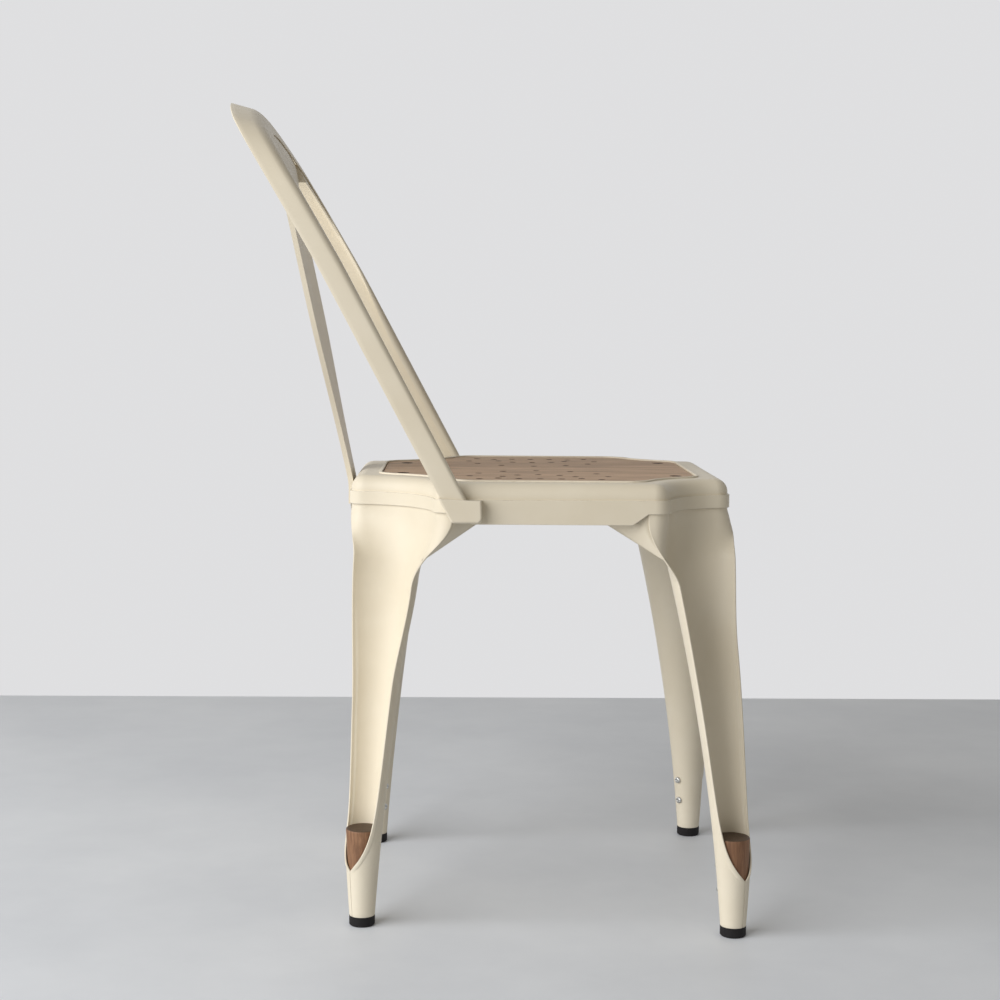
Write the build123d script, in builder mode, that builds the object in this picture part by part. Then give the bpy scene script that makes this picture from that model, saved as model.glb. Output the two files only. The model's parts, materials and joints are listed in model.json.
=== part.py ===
import os
from math import cos, exp, radians, sin, sqrt, tan

from build123d import *

os.makedirs("parts", exist_ok=True)

# Stacking dining chair of pressed steel with a plywood seat insert.
# Millimetres. Front is +X, the sitter's left is +Y, the floor is Z = 0.

# Sheet and fits
sheet = 1.6  # thickness of every pressed steel piece
weld_gap = 0.35  # space left where two pressed pieces nest
slide_gap = 0.2  # radial space round a screw or bolt in its hole

# Seat pan
seat_height = 442.0  # top of the insert and of the pan border
seat_length = 373.0  # front to rear at the ridge under the shoulder
seat_width = 382.0
seat_centre_x = 51.6  # the seat stands forward of the middle of the chair
front_notch = 66.0  # radius of the hollow corner over a front leg
rear_notch = 85.0
corner_round = 16.0  # between a straight side and a hollow corner
shoulder_round = 13.0
ridge_drop = 15.5  # ridge below the seat top
skirt_drop = 38.6  # lower edge of the skirt below the seat top
corner_skirt_drop = 28.0  # the same over a leg
band_proud = 1.8  # the skirt stands out this far from the ridge
skirt_reach = 20.0  # skirt starts this far outside a hollow corner
skirt_ramp = 15.0  # run of the sloping skirt end

# Seat insert
recess_inset = 25.6  # at the sides and at the hollow corners
end_border = 3.5  # the border is this much wider in front and behind
ledge_width = 32.0
panel_gap = 0.4
panel_thickness = 9.0
panel_round = 26.0
panel_edge = 0.8
lip_width = 2.8
lip_height = 1.5
lip_round = 0.5
perforation = 7.0
outer_arc_radius = 69.0
outer_arc_y = 100.0
outer_arc_step = 30.0
outer_arc_count = 9
inner_arc_radius = 41.0
inner_arc_y = 122.0
inner_arc_step = 31.0
inner_arc_count = 7
heart_pitch = 21.0
heart_y = 130.0
front_bolt_inset = (48.5, 106.0)  # from the front corner of the seat rectangle
rear_bolt_inset = (50.5, 125.0)
bolt_bore = 12.4
bolt_sink = 4.6
panel_bolt = 5.0
panel_bolt_head = 10.0
panel_bolt_head_height = 2.8
panel_nut_flats = 8.0
panel_nut_height = 4.0
bolt_tail = 2.0  # thread showing past a nut

# Legs
foot_height = 10.0
foot_radius = 12.75
foot_chamfer = 1.2
leg_foot_radius = 12.6
leg_top_radius = 37.0
leg_bend_drop = 98.0  # the cone ends and the flare starts this far below the seat
flare_height = 64.0
flare_delay = 22.0  # the end edge starts to flare this much higher than the side edge
seam_half_angle = 179.0  # nearly closed round the plug
open_half_angle = 80.0  # half angle of the open gutter
vee_height = 57.0  # bottom of the V opening
vee_fade = 22.0  # height over which the V opens
gutter_fade = 110.0  # height over which the gutter above it opens
vee_share = 0.8  # share of the opening that belongs to the V
front_lip_reach = 20.0  # leg edge lies this far outside a hollow corner
rear_lip_reach = 16.0
front_foot_spread = (4.3, -13.0)  # foot centre from the seat corner, outward positive
rear_foot_spread = (-13.7, -44.0)
front_cone_inset = (23.6, 20.0)  # cone centre at the bend from the seat corner
rear_cone_inset = (28.0, 30.0)
front_leg_turn = 40.0  # opening direction, degrees from sideways
rear_leg_turn = 48.0
front_screw_turn = 50.0  # direction of the plug screws, degrees from sideways
rear_screw_turn = 39.0
section_points = 31  # spots along each leg section
vee_step = 7.0  # height between the sections of the V opening
vee_sections = 7
cone_sections = 16
flare_sections = 10

# Wooden plugs, feet and their screws
plug_top = 98.0
plug_round = 1.5
plug_screw_heights = (43.0, 67.0)
plug_screw = 4.0
plug_screw_head = 7.5
plug_screw_head_height = 2.2
plug_screw_length = 12.0
foot_screw = 4.0
foot_screw_head = 8.0
foot_screw_head_height = 2.6
foot_screw_seat = 5.0
foot_screw_length = 34.0

# Gussets between leg edge and skirt
gusset_reach = 28.0  # along the skirt from the leg edge
gusset_drop = 36.0
gusset_lap = 8.6  # height behind the skirt
gusset_gap = 0.5
gusset_points = 9  # spots along the edge that follows the leg

# Back hoop
hoop_bar_slope = 0.534  # backward run per height of the lower bars
hoop_top_slope = 0.585
hoop_ahead = 113.0  # front face of the bars ahead of the rear ridge, at the datum
hoop_datum_drop = 12.0  # datum below the seat top
knee_rise = 208.0  # bars lean back more above this height over the seat
knee_round = 400.0
hoop_depth = 24.0
hoop_rise = 363.0  # top of the arch over the seat
hoop_crown_drop = 36.0  # arch corner below the arch top
hoop_corner_round = 60.0
hoop_taper = 4.0  # half width lost from bottom to arch corner
bar_width = 10.0  # at the seat
bar_gap = 0.6  # between bar and skirt
bar_top_width = 17.0
hoop_edge_round = 7.0
hoop_wall_rise = 15.0  # degrees that the arch wall rises to the rear
return_depth = 9.6
inner_corner_round = 50.0
bar_end_drop = 34.5  # bar ends below the seat top

# Back splat
splat_foot_half = 28.5
splat_lower_half = 44.5
splat_middle_half = 66.0
splat_half = 72.5
splat_lower_rise = 73.0
splat_middle_rise = 134.0
splat_upper_rise = 208.0
opening_spring_rise = 249.0
splat_flange = 5.2
splat_lap = 20.0
splat_bend_round = 60.0
splat_top_bend_round = 60.0
splat_slope = 0.217
plate_overlap = 1.0  # the side parts of the back plate run this far into its centre part
rivet_spacing = 28.0
rivet_drop = 27.0
rivet = 4.0
rivet_head = 8.0
rivet_head_height = 1.6

# Bar sockets, bolts and nuts
socket_drop = 36.5
socket_height = 23.0
socket_round = 3.0
socket_gap = 0.4
back_bolt = 6.0
back_bolt_head = 9.0
back_bolt_head_height = 3.0
back_bolt_drop = 23.5
back_bolt_setback = 7.5  # behind the front face of the bar
back_nut_flats = 10.0
back_nut_height = 5.0

# Heights and places worked out from the sizes above
half_length = seat_length / 2
half_width = seat_width / 2
seat_front_x = seat_centre_x + half_length
seat_rear_x = seat_centre_x - half_length
ridge_z = seat_height - ridge_drop
skirt_bottom = seat_height - skirt_drop
corner_skirt_z = seat_height - corner_skirt_drop
band_top = ridge_z - sheet
panel_seat_z = seat_height - panel_thickness
leg_bend_z = seat_height - leg_bend_drop
leg_top_z = band_top - weld_gap
skirt_face_y = half_width + band_proud
skirt_inner_y = skirt_face_y - sheet
bar_inner_y = skirt_face_y + bar_gap
bar_outer_y = bar_inner_y + bar_width
hoop_top_z = seat_height + hoop_rise
hoop_front_x = seat_rear_x + hoop_ahead
hoop_datum_z = seat_height - hoop_datum_drop
knee_z = seat_height + knee_rise
far = 400.0  # longer than any cut needs
through = 4 * sheet  # deep enough for a hole in one sheet
forward_share = 0.7  # a face of the hoop that looks forward at least this much is its front
up = (Align.CENTER, Align.CENTER, Align.MIN)
down = (Align.CENTER, Align.CENTER, Align.MAX)


def hoop_front(z):
    below = min(z, knee_z) - hoop_datum_z
    above = max(z - knee_z, 0)
    return hoop_front_x - hoop_bar_slope * below - hoop_top_slope * above


back_bolt_z = seat_height - back_bolt_drop
back_bolt_x = hoop_front(back_bolt_z) - back_bolt_setback
back_bolt_seat_y = bar_inner_y + sheet + 2 * weld_gap
back_bolt_length = back_bolt_seat_y - skirt_inner_y + back_nut_height + bolt_tail
back_bolt_planes = []
for side in (-1, 1):
    origin = (back_bolt_x, side * back_bolt_seat_y, back_bolt_z)
    back_bolt_planes.append(Plane(origin=origin, x_dir=(1, 0, 0), z_dir=(0, -side, 0)))

rear_face_x = seat_rear_x - band_proud
rivet_z = seat_height - rivet_drop
rivet_planes = []
for side in (-1, 1):
    origin = (rear_face_x, side * rivet_spacing / 2, rivet_z)
    rivet_planes.append(Plane(origin=origin, x_dir=(0, 1, 0), z_dir=(1, 0, 0)))


def save(piece, name):
    piece.label = name
    export_step(piece, f"parts/{name}.step")


# Seat outline: a rectangle with a round hollow at each corner

seat_corners = [
    (seat_front_x, -half_width, front_notch),
    (seat_front_x, half_width, front_notch),
    (seat_rear_x, -half_width, rear_notch),
    (seat_rear_x, half_width, rear_notch),
]


def seat_outline(inset, rounding, end_inset=0):
    with BuildSketch() as outline:
        with Locations((seat_centre_x, 0)):
            Rectangle(seat_length - 2 * (inset + end_inset), seat_width - 2 * inset)
        for x, y, notch in seat_corners:
            with Locations((x, y)):
                Circle(notch + inset, mode=Mode.SUBTRACT)
        fillet(outline.vertices(), rounding)
    return outline.sketch


panel_bolt_spots = []
for side in (-1, 1):
    front_spot_y = side * (half_width - front_bolt_inset[1])
    rear_spot_y = side * (half_width - rear_bolt_inset[1])
    panel_bolt_spots.append((seat_front_x - front_bolt_inset[0], front_spot_y))
    panel_bolt_spots.append((seat_rear_x + rear_bolt_inset[0], rear_spot_y))

# Seat pan: a pressed shell with a recess for the insert

with BuildPart() as pan_hollow:
    with BuildSketch(Plane.XY.offset(band_top)):
        add(seat_outline(sheet, corner_round))
    extrude(amount=seat_height - sheet - band_top)
    fillet(pan_hollow.faces().sort_by(Axis.Z)[-1].edges(), shoulder_round - sheet)
    with BuildSketch(Plane.XY.offset(skirt_bottom)):
        add(seat_outline(sheet - band_proud, corner_round))
    extrude(amount=band_top - skirt_bottom)

with BuildPart() as seat_pan:
    with BuildSketch(Plane.XY.offset(skirt_bottom)):
        add(seat_outline(0, corner_round))
    extrude(amount=seat_height - skirt_bottom)
    fillet(seat_pan.faces().sort_by(Axis.Z)[-1].edges(), shoulder_round)
    with BuildSketch(Plane.XY.offset(skirt_bottom)):
        add(seat_outline(-band_proud, corner_round))
    extrude(amount=ridge_z - skirt_bottom)
    add(pan_hollow.part, mode=Mode.SUBTRACT)
    with BuildSketch(Plane.XY.offset(panel_seat_z - sheet)):
        add(seat_outline(recess_inset - sheet, panel_round, end_border))
    extrude(amount=panel_thickness + sheet)
    with BuildSketch(Plane.XY.offset(seat_height - sheet)):
        add(seat_outline(recess_inset - lip_width, panel_round, end_border))
    extrude(amount=sheet + lip_height)
    with BuildSketch(Plane.XY.offset(panel_seat_z)):
        add(seat_outline(recess_inset, panel_round, end_border))
    extrude(amount=panel_thickness + lip_height, mode=Mode.SUBTRACT)
    with BuildSketch(Plane.XY.offset(panel_seat_z - sheet)):
        add(seat_outline(recess_inset + ledge_width, panel_round, end_border))
    extrude(amount=sheet, mode=Mode.SUBTRACT)
    for x, y, notch in seat_corners:
        with Locations((x, y, skirt_bottom)):
            Cone(
                notch + skirt_reach + skirt_ramp,
                notch + skirt_reach,
                corner_skirt_z - skirt_bottom,
                align=up,
                mode=Mode.SUBTRACT,
            )
    lip_top = seat_pan.faces().sort_by(Axis.Z)[-1]
    fillet(lip_top.edges(), lip_round)
    with Locations(*[(x, y, panel_seat_z) for x, y in panel_bolt_spots]):
        Cylinder(panel_bolt / 2 + slide_gap, through, mode=Mode.SUBTRACT)
    for plane in back_bolt_planes:
        with Locations(plane):
            Cylinder(back_bolt / 2 + slide_gap, back_bolt_length, align=up, mode=Mode.SUBTRACT)
    with Locations(*rivet_planes):
        Cylinder(rivet / 2 + slide_gap, through, mode=Mode.SUBTRACT)

# Seat insert with arcs of round holes on each side

perforations = []
for side in (-1, 1):
    for index in range(outer_arc_count):
        turn = radians((index - (outer_arc_count - 1) / 2) * outer_arc_step)
        across = outer_arc_y - outer_arc_radius * cos(turn)
        perforations.append((seat_centre_x + outer_arc_radius * sin(turn), side * across))
    for index in range(inner_arc_count):
        turn = radians((index - (inner_arc_count - 1) / 2) * inner_arc_step)
        across = inner_arc_y - inner_arc_radius * cos(turn)
        perforations.append((seat_centre_x + inner_arc_radius * sin(turn), side * across))
    for step in (-1, 0, 1):
        perforations.append((seat_centre_x + step * heart_pitch, side * heart_y))

with BuildPart() as seat_panel:
    with BuildSketch(Plane.XY.offset(panel_seat_z)):
        add(seat_outline(recess_inset + panel_gap, panel_round, end_border))
        with Locations(*perforations):
            Circle(perforation / 2, mode=Mode.SUBTRACT)
    extrude(amount=panel_thickness)
    chamfer(seat_panel.faces().sort_by(Axis.Z)[-1].outer_wire().edges(), panel_edge)
    with Locations(*[(x, y, seat_height) for x, y in panel_bolt_spots]):
        CounterBoreHole(panel_bolt / 2 + slide_gap, bolt_bore / 2, bolt_sink)

bolt_seat_z = seat_height - bolt_sink
nut_seat_z = panel_seat_z - sheet
panel_bolt_length = bolt_seat_z - nut_seat_z + panel_nut_height + bolt_tail

with BuildPart() as seat_panel_bolts:
    with Locations(*[(x, y, bolt_seat_z) for x, y in panel_bolt_spots]):
        Cylinder(panel_bolt_head / 2, panel_bolt_head_height, align=up)
        Cylinder(panel_bolt / 2, panel_bolt_length, align=down)
    fillet(seat_panel_bolts.faces().group_by(Axis.Z)[-1].edges(), panel_bolt_head_height / 2)

with BuildPart() as seat_panel_nuts:
    with BuildSketch(Plane.XY.offset(nut_seat_z)):
        with Locations(*panel_bolt_spots):
            RegularPolygon(panel_nut_flats / 2, 6, major_radius=False)
            Circle(panel_bolt / 2 + slide_gap, mode=Mode.SUBTRACT)
    extrude(amount=-panel_nut_height)

save(seat_pan.part, "seat_pan")
save(seat_panel.part, "seat_panel")
save(seat_panel_bolts.part, "seat_panel_bolts")
save(seat_panel_nuts.part, "seat_panel_nuts")


# Legs: conical gutters, closed round the plug at the foot and flared into the hollow seat corner

class Leg:
    def __init__(
        self, name, ahead, corner_x, notch, lip_reach, foot_spread, cone_inset, turn, screw_turn
    ):
        self.name = name
        self.ahead = ahead
        self.corner = Vector(corner_x, -half_width)
        self.notch = notch
        self.lip_reach = lip_reach
        self.foot = self.corner + Vector(ahead * foot_spread[0], -foot_spread[1])
        self.bend = self.corner + Vector(-ahead * cone_inset[0], cone_inset[1])
        self.outward = Vector(ahead * sin(radians(turn)), -cos(radians(turn)))
        self.across = Vector(ahead * cos(radians(turn)), sin(radians(turn)))
        self.screw_way = Vector(ahead * sin(radians(screw_turn)), -cos(radians(screw_turn)))
        self.flare = self.corner_path()

    def centre(self, z):
        return self.foot + (self.bend - self.foot) * (z / leg_bend_z) ** 2

    def radius(self, z):
        share = (z - foot_height) / (leg_bend_z - foot_height)
        return leg_foot_radius + (leg_top_radius - leg_foot_radius) * share

    def half_angle(self, z):
        if z <= vee_height:
            return seam_half_angle
        vee = exp((vee_height - z) / vee_fade)
        gutter = exp((vee_height - z) / gutter_fade)
        fade = vee_share * vee + (1 - vee_share) * gutter
        return open_half_angle + (seam_half_angle - open_half_angle) * fade

    def corner_path(self):
        inset = sheet - band_proud + weld_gap
        hollow = self.notch + inset
        reach = self.notch + self.lip_reach
        chord = sqrt(hollow**2 - inset**2)
        side_edge = self.corner + Vector(-self.ahead * reach, inset)
        side_end = self.corner + Vector(-self.ahead * chord, inset)
        middle = self.corner + Vector(-self.ahead, 1) * (hollow * sqrt(0.5))
        end_start = self.corner + Vector(-self.ahead * inset, chord)
        end_edge = self.corner + Vector(-self.ahead * inset, reach)
        with BuildLine() as path:
            Line(side_edge, side_end)
            ThreePointArc(side_end, middle, end_start)
            Line(end_start, end_edge)
            fillet(path.vertices(), corner_round)
        wire = path.wire()
        spots = []
        for index in range(section_points):
            run = wire.length * index / (section_points - 1)
            spots.append(wire.position_at(run, position_mode=PositionMode.LENGTH))
        if (spots[0] - side_edge).length > (spots[-1] - side_edge).length:
            spots.reverse()
        return spots

    def edge_lines(self, z):
        reach = self.radius(z) - sheet
        hollow_side = []
        for index in range(section_points):
            share = index / (section_points - 1)
            late = flare_delay * share
            rise = min(max((z - leg_bend_z - late) / (flare_height - late), 0), 1)
            blend = rise * rise * (3 - 2 * rise)
            angle = radians(self.half_angle(z)) * (2 * share - 1)
            spoke = self.across * sin(angle) - self.outward * cos(angle)
            cone_spot = self.centre(z) + spoke * reach
            hollow_side.append(cone_spot * (1 - blend) + self.flare[index] * blend)
        back_side = []
        for index, spot in enumerate(hollow_side):
            after = hollow_side[min(index + 1, section_points - 1)]
            before = hollow_side[max(index - 1, 0)]
            along = (after - before).normalized()
            back_side.append(spot + Vector(-along.Y, along.X) * (self.ahead * sheet))
        return hollow_side, back_side

    def section(self, z):
        hollow_side, back_side = self.edge_lines(z)
        with BuildSketch(Plane.XY.offset(z)) as outline:
            with BuildLine():
                Spline(*hollow_side)
                Line(hollow_side[-1], back_side[-1])
                Spline(*back_side[::-1])
                Line(back_side[0], hollow_side[0])
            make_face()
        return outline.sketch

    def inner_edge_x(self, z):
        hollow_side, back_side = self.edge_lines(z)
        return self.ahead * min(self.ahead * hollow_side[0].X, self.ahead * back_side[0].X)

    def screw_plane(self, z):
        back_reach = self.radius(z + plug_screw_head / 2) + slide_gap
        origin = self.centre(z) - self.screw_way * back_reach
        return Plane(
            origin=(origin.X, origin.Y, z),
            x_dir=(0, 0, 1),
            z_dir=(self.screw_way.X, self.screw_way.Y, 0),
        )


front_leg = Leg(
    "front",
    1,
    seat_front_x,
    front_notch,
    front_lip_reach,
    front_foot_spread,
    front_cone_inset,
    front_leg_turn,
    front_screw_turn,
)
rear_leg = Leg(
    "rear",
    -1,
    seat_rear_x,
    rear_notch,
    rear_lip_reach,
    rear_foot_spread,
    rear_cone_inset,
    rear_leg_turn,
    rear_screw_turn,
)


def levels_between(low_z, high_z, count):
    return [low_z + (high_z - low_z) * (step + 1) / count for step in range(count)]


vee_levels = [vee_height + vee_step * step for step in range(vee_sections)]
cone_levels = levels_between(vee_levels[-1], leg_bend_z, cone_sections)
flare_levels = levels_between(leg_bend_z, leg_top_z, flare_sections)


def make_leg(leg):
    with BuildPart() as shell:
        loft(sections=[leg.section(foot_height), leg.section(vee_height)], ruled=True)
        loft(sections=[leg.section(z) for z in vee_levels + cone_levels + flare_levels])
        with Locations(*[leg.screw_plane(z) for z in plug_screw_heights]):
            Cylinder(
                plug_screw / 2 + slide_gap, plug_screw_length, align=up, mode=Mode.SUBTRACT
            )
    return shell.part


def make_plug(leg):
    with BuildPart() as plug:
        for z in (foot_height, (foot_height + plug_top) / 2, plug_top):
            centre = leg.centre(z)
            with BuildSketch(Plane(origin=(centre.X, centre.Y, z))):
                Circle(leg.radius(z) - sheet - weld_gap)
        loft()
        fillet(plug.faces().sort_by(Axis.Z)[-1].edges(), plug_round)
        with Locations(*[leg.screw_plane(z) for z in plug_screw_heights]):
            Cylinder(
                plug_screw / 2 + slide_gap, plug_screw_length, align=up, mode=Mode.SUBTRACT
            )
        with Locations((leg.foot.X, leg.foot.Y, foot_height)):
            Cylinder(
                foot_screw / 2 + slide_gap,
                foot_screw_length - foot_height + foot_screw_seat,
                align=up,
                mode=Mode.SUBTRACT,
            )
    return plug.part


def make_plug_screws(leg):
    with BuildPart() as screws:
        with Locations(*[leg.screw_plane(z) for z in plug_screw_heights]):
            Cylinder(plug_screw_head / 2, plug_screw_head_height, align=down)
            Cylinder(plug_screw / 2, plug_screw_length - slide_gap, align=up)
        crowns = screws.faces().filter_by(GeomType.PLANE).sort_by(SortBy.AREA)
        heads = crowns[-len(plug_screw_heights):]
        fillet(heads.edges(), plug_screw_head_height / 2)
    return screws.part


def make_foot(leg):
    with BuildPart() as foot:
        with Locations((leg.foot.X, leg.foot.Y, 0)):
            Cylinder(foot_radius, foot_height, align=up)
        chamfer(foot.faces().sort_by(Axis.Z)[0].edges(), foot_chamfer)
        with Locations((leg.foot.X, leg.foot.Y, 0)):
            Cylinder(
                foot_screw / 2 + slide_gap, foot_height, align=up, mode=Mode.SUBTRACT
            )
            Cylinder(
                foot_screw_head / 2 + slide_gap,
                foot_screw_seat,
                align=up,
                mode=Mode.SUBTRACT,
            )
    return foot.part


def make_gusset(leg):
    lap_top = skirt_bottom + gusset_lap
    tip_z = skirt_bottom - gusset_drop
    edge = [tip_z] + levels_between(tip_z, lap_top, gusset_points - 1)
    far_x = leg.inner_edge_x(lap_top) - leg.ahead * gusset_reach
    with BuildPart() as gusset:
        with BuildSketch(Plane.XZ.offset(skirt_inner_y)):
            with BuildLine():
                Polyline(
                    (far_x, lap_top),
                    (far_x, skirt_bottom),
                    *[(leg.inner_edge_x(z) - leg.ahead * gusset_gap, z) for z in edge],
                    close=True,
                )
            make_face()
        extrude(amount=-sheet)
    return gusset.part


for leg in (front_leg, rear_leg):
    pieces = {
        "leg": make_leg(leg),
        "plug": make_plug(leg),
        "plug_screws": make_plug_screws(leg),
        "foot": make_foot(leg),
        "corner_gusset": make_gusset(leg),
    }
    for kind, piece in pieces.items():
        save(piece, f"{kind}_{leg.name}_right")
        with BuildPart() as other_side:
            mirror(piece, about=Plane.XZ)
        save(other_side.part, f"{kind}_{leg.name}_left")

foot_spots = []
for leg in (front_leg, rear_leg):
    for side in (-1, 1):
        foot_spots.append((leg.foot.X, side * abs(leg.foot.Y), foot_screw_seat))

with BuildPart() as foot_screws:
    with Locations(*foot_spots):
        Cylinder(foot_screw_head / 2, foot_screw_head_height, align=down)
        Cylinder(foot_screw / 2, foot_screw_length - slide_gap, align=up)
save(foot_screws.part, "foot_screws")


# Back hoop: an arch of pressed channel, open to the rear

bar_bottom_z = seat_height - bar_end_drop
arch_corner_z = hoop_top_z - hoop_crown_drop
arch_x = hoop_front(hoop_top_z)
wall_run = Vector(-cos(radians(hoop_wall_rise)), 0, sin(radians(hoop_wall_rise)))
bar_level = ridge_z + (hoop_front(ridge_z) - arch_x) * tan(radians(hoop_wall_rise))
arch_height = arch_corner_z - bar_level
outer_lean = hoop_taper / arch_height
inner_lean = (bar_top_width - bar_width + hoop_taper) / arch_height
front_wall = sheet * sqrt(1 + hoop_bar_slope**2)


def lean_strip(line, front_inset, rear_inset, rounds):
    front_line = [(x - front_inset, z) for x, z in line]
    rear_line = [(x - rear_inset, z) for x, z in reversed(line)]
    with BuildSketch() as strip:
        with BuildLine():
            Polyline(*front_line, *rear_line, close=True)
        make_face()
        for (x, z), rounding in zip(line[1:-1], rounds):
            level = strip.vertices().filter_by(lambda corner: abs(corner.Y - z) < slide_gap)
            fillet(level, rounding)
    return strip.sketch


def hoop_strip(front_inset, rear_inset, bottom_z):
    levels = (bottom_z, knee_z, hoop_top_z + far)
    line = [(hoop_front(z), z) for z in levels]
    return lean_strip(line, front_inset, rear_inset, [knee_round])


def arch_outline(bar_half, lean, inset, rounding):
    bottom_half = bar_half + lean * far
    top_half = bar_half - lean * arch_height
    bottom_z = bar_level - far
    corner_z = arch_corner_z - inset
    with BuildSketch() as arch:
        with BuildLine():
            Line((-bottom_half, bottom_z), (bottom_half, bottom_z))
            Line((bottom_half, bottom_z), (top_half, corner_z))
            ThreePointArc((top_half, corner_z), (0, hoop_top_z - inset), (-top_half, corner_z))
            Line((-top_half, corner_z), (-bottom_half, bottom_z))
        make_face()
        fillet(arch.vertices().group_by(Axis.Y)[-1], rounding)
    return arch.sketch


def outer_arch(inset):
    return arch_outline(bar_outer_y - inset, outer_lean, inset, hoop_corner_round)


def inner_arch(outset):
    return arch_outline(bar_inner_y + outset, inner_lean, bar_top_width - outset, inner_corner_round)


def hoop_form(inset, front_inset, rear_inset, bottom_z, rounding):
    with BuildPart() as form:
        with BuildSketch(Plane.YZ.offset(arch_x)):
            add(outer_arch(inset))
        extrude(amount=far, dir=wall_run, both=True)
        with BuildSketch(Plane.XZ):
            add(hoop_strip(front_inset, rear_inset, bottom_z))
        extrude(amount=far, both=True, mode=Mode.INTERSECT)
        front = ShapeList([face for face in form.faces() if face.normal_at().X > forward_share])
        level = front.edges().filter_by(Axis.Y)
        fillet([edge for edge in front.edges() if edge not in level], rounding)
        with BuildSketch(Plane.YZ.offset(arch_x)):
            add(inner_arch(inset))
        extrude(amount=far, dir=wall_run, both=True, mode=Mode.SUBTRACT)
    return form.part


with BuildPart() as return_cut:
    with BuildSketch(Plane.YZ.offset(arch_x)):
        add(inner_arch(2 * sheet))
    extrude(amount=far, dir=wall_run, both=True)
    with BuildSketch(Plane.XZ):
        add(hoop_strip(return_depth, 2 * hoop_depth, bar_bottom_z - sheet))
    extrude(amount=far, both=True, mode=Mode.INTERSECT)

with BuildPart() as back_hoop:
    add(hoop_form(0, 0, hoop_depth, bar_bottom_z, hoop_edge_round))
    add(
        hoop_form(sheet, front_wall, 2 * hoop_depth, bar_bottom_z - sheet, hoop_edge_round - sheet),
        mode=Mode.SUBTRACT,
    )
    add(return_cut.part, mode=Mode.SUBTRACT)
    for plane in back_bolt_planes:
        with Locations(plane):
            Cylinder(back_bolt / 2 + slide_gap, back_bolt_length, align=up, mode=Mode.SUBTRACT)
save(back_hoop.part, "back_hoop")

# Back splat: a plate across the arch and a tapered centre strip down to the rear skirt

splat_bottom_z = ridge_z - splat_lap
splat_bend_z = ridge_z + sheet
opening_edge_y = bar_inner_y - inner_lean * arch_height
opening_radius = (opening_edge_y - splat_half) / 2
opening_middle_y = splat_half + opening_radius
spring_z = seat_height + opening_spring_rise
opening_top_z = spring_z + opening_radius
plate_setback = front_wall + weld_gap
plate_knee_x = hoop_front(knee_z) - plate_setback
plate_bend_z = (
    plate_knee_x + hoop_top_slope * knee_z - rear_face_x - splat_slope * splat_bend_z
) / (hoop_top_slope - splat_slope)
plate_bend_x = rear_face_x - splat_slope * (plate_bend_z - splat_bend_z)
splat_line = [
    (rear_face_x, splat_bottom_z),
    (rear_face_x, splat_bend_z),
    (plate_bend_x, plate_bend_z),
    (hoop_front(hoop_top_z + far) - plate_setback, hoop_top_z + far),
]
splat_rounds = [splat_bend_round, splat_top_bend_round]
step_corners = [  # web between the centre part and a side part, over an opening
    (plate_bend_x - front_wall, plate_bend_z),
    (hoop_front(opening_top_z) - plate_setback - front_wall / 2, opening_top_z),
    (rear_face_x - splat_slope * (opening_top_z - splat_bend_z) - front_wall, opening_top_z),
]


def opening_outline(outset):
    low_z = splat_bottom_z - far
    foot_y = splat_foot_half - outset
    side_y = splat_half - outset
    edge_y = opening_edge_y + outset
    side_z = seat_height + splat_upper_rise
    arc_top = (opening_middle_y, opening_top_z + outset)
    with BuildSketch() as opening:
        with BuildLine():
            Line((foot_y, low_z), (foot_y, splat_bend_z))
            Spline(
                (foot_y, splat_bend_z),
                (splat_lower_half - outset, seat_height + splat_lower_rise),
                (splat_middle_half - outset, seat_height + splat_middle_rise),
                (side_y, side_z),
                tangents=[(0, 1), (0, 1)],
            )
            Line((side_y, side_z), (side_y, spring_z))
            ThreePointArc((side_y, spring_z), arc_top, (edge_y, spring_z))
            Polyline((edge_y, spring_z), (far, spring_z), (far, low_z), (foot_y, low_z))
        make_face()
        mirror(about=Plane.YZ)
    return opening.sketch


with BuildPart() as flange_ring:
    with BuildSketch(Plane.YZ):
        add(opening_outline(sheet))
        with Locations((0, spring_z)):
            Rectangle(2 * opening_middle_y, 2 * far, mode=Mode.INTERSECT)
    extrude(amount=far, both=True)

with BuildPart() as rear_pocket:
    with BuildSketch(Plane.XZ):
        add(lean_strip(splat_line, front_wall, 2 * splat_flange, splat_rounds))
    extrude(amount=far, both=True)
    add(flange_ring.part, mode=Mode.SUBTRACT)

with BuildPart() as centre_plate:
    with BuildSketch(Plane.XZ):
        add(lean_strip(splat_line, 0, splat_flange, splat_rounds))
    extrude(amount=opening_middle_y, both=True)
    add(rear_pocket.part, mode=Mode.SUBTRACT)

with BuildPart() as side_plates:
    with BuildSketch(Plane.XZ):
        add(hoop_strip(plate_setback, plate_setback + front_wall, bar_bottom_z))
    extrude(amount=far, both=True)
    with BuildSketch(Plane.XZ):
        with BuildLine():
            Polyline(*step_corners, close=True)
        make_face()
    extrude(amount=opening_middle_y + plate_overlap, both=True)
    with BuildSketch(Plane.YZ):
        with Locations((0, spring_z)):
            Rectangle(2 * (opening_middle_y - plate_overlap), 2 * far)
    extrude(amount=far, both=True, mode=Mode.SUBTRACT)

with BuildPart() as back_splat:
    add(centre_plate.part)
    add(side_plates.part)
    with BuildSketch(Plane.YZ.offset(arch_x)):
        add(inner_arch(-weld_gap))
    extrude(amount=far, dir=wall_run, both=True, mode=Mode.INTERSECT)
    with BuildSketch(Plane.YZ):
        add(opening_outline(0))
    extrude(amount=far, both=True, mode=Mode.SUBTRACT)
    with Locations(*rivet_planes):
        Cylinder(rivet / 2 + slide_gap, through, mode=Mode.SUBTRACT)
save(back_splat.part, "back_splat")

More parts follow.
